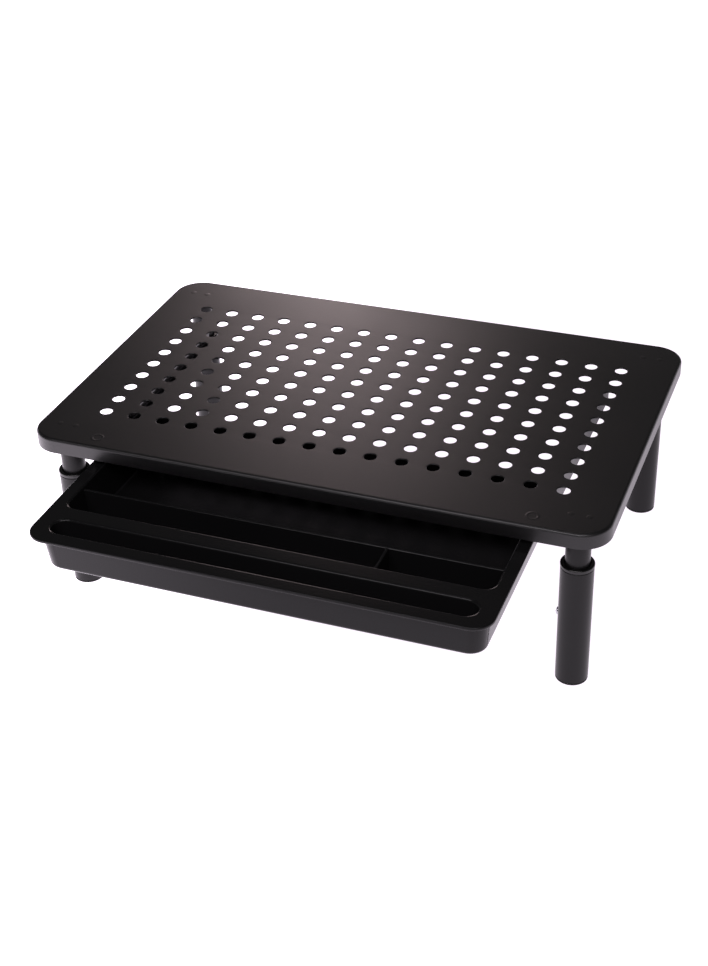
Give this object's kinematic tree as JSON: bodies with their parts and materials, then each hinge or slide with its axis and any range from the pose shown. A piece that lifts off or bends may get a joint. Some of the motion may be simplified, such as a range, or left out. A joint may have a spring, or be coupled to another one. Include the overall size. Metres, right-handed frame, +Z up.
{
  "type": "monitor riser stand",
  "caption": "Perforated steel monitor riser on telescopic round legs with snap buttons, and a compartmented moulded drawer that slides in rails underneath.",
  "frame": {"origin": "on the floor, at the middle of the whole stand's footprint with the drawer pulled out as stored", "axes": "+X to the stand's right seen from the front, -Y towards the user, where the drawer comes out, +Z up"},
  "size_m": [0.37, 0.3166, 0.117],
  "materials": {
    "black_powder_coat": "satin black powder coat on steel sheet",
    "leg_powder_coat": "satin black powder coat on steel tube",
    "black_moulded_plastic": "black moulded plastic, semi-gloss with a fine grain",
    "gloss_black_plastic": "smooth black plastic",
    "black_rubber": "matt black rubber",
    "bright_steel": "bright plated steel",
    "spring_steel": "plain spring steel"
  },
  "bodies": {
    "platform": {"top_plate": "black_powder_coat", "drawer_rail_left": "black_powder_coat", "drawer_rail_right": "black_powder_coat", "leg_base_front_left": "black_powder_coat", "leg_base_front_right": "black_powder_coat", "leg_base_back_left": "black_powder_coat", "leg_base_back_right": "black_powder_coat", "leg_tube_front_left": "leg_powder_coat", "leg_tube_front_right": "leg_powder_coat", "leg_tube_back_left": "leg_powder_coat", "leg_tube_back_right": "leg_powder_coat", "button_spring_front_left": "spring_steel", "button_spring_front_right": "spring_steel", "button_spring_back_left": "spring_steel", "button_spring_back_right": "spring_steel"},
    "drawer": {"drawer_tray": "black_moulded_plastic"},
    "lower_leg_front_left": {"leg_sleeve_front_left": "leg_powder_coat", "leg_collar_front_left": "gloss_black_plastic", "foot_cap_front_left": "black_rubber"},
    "lower_leg_front_right": {"leg_sleeve_front_right": "leg_powder_coat", "leg_collar_front_right": "gloss_black_plastic", "foot_cap_front_right": "black_rubber"},
    "lower_leg_back_left": {"leg_sleeve_back_left": "leg_powder_coat", "leg_collar_back_left": "gloss_black_plastic", "foot_cap_back_left": "black_rubber"},
    "lower_leg_back_right": {"leg_sleeve_back_right": "leg_powder_coat", "leg_collar_back_right": "gloss_black_plastic", "foot_cap_back_right": "black_rubber"},
    "button_front_left": {"snap_button_front_left": "bright_steel"},
    "button_front_right": {"snap_button_front_right": "bright_steel"},
    "button_back_left": {"snap_button_back_left": "bright_steel"},
    "button_back_right": {"snap_button_back_right": "bright_steel"}
  },
  "joints": [
    {"name": "drawer_slide", "type": "slide", "parent": "platform", "child": "drawer", "axis": [0, -1, 0], "range_m": [-0.0815, 0]},
    {"name": "leg_height_front_left", "type": "slide", "parent": "platform", "child": "lower_leg_front_left", "axis": [0, 0, -1], "range_m": [-0.02, 0.02], "deforming": ["snap_button_front_left"]},
    {"name": "leg_height_front_right", "type": "slide", "parent": "platform", "child": "lower_leg_front_right", "axis": [0, 0, -1], "range_m": [-0.02, 0.02], "deforming": ["snap_button_front_right"]},
    {"name": "leg_height_back_left", "type": "slide", "parent": "platform", "child": "lower_leg_back_left", "axis": [0, 0, -1], "range_m": [-0.02, 0.02], "deforming": ["snap_button_back_left"]},
    {"name": "leg_height_back_right", "type": "slide", "parent": "platform", "child": "lower_leg_back_right", "axis": [0, 0, -1], "range_m": [-0.02, 0.02], "deforming": ["snap_button_back_right"]},
    {"name": "button_press_front_left", "type": "slide", "parent": "platform", "child": "button_front_left", "axis": [-1, 0, 0], "range_m": [0, 0.0034], "stiffness_N_per_m": 1500, "springref_m": -0.001, "deforming": ["button_spring_front_left"]},
    {"name": "button_press_front_right", "type": "slide", "parent": "platform", "child": "button_front_right", "axis": [1, 0, 0], "range_m": [0, 0.0034], "stiffness_N_per_m": 1500, "springref_m": -0.001, "deforming": ["button_spring_front_right"]},
    {"name": "button_press_back_left", "type": "slide", "parent": "platform", "child": "button_back_left", "axis": [-1, 0, 0], "range_m": [0, 0.0034], "stiffness_N_per_m": 1500, "springref_m": -0.001, "deforming": ["button_spring_back_left"]},
    {"name": "button_press_back_right", "type": "slide", "parent": "platform", "child": "button_back_right", "axis": [1, 0, 0], "range_m": [0, 0.0034], "stiffness_N_per_m": 1500, "springref_m": -0.001, "deforming": ["button_spring_back_right"]}
  ]
}
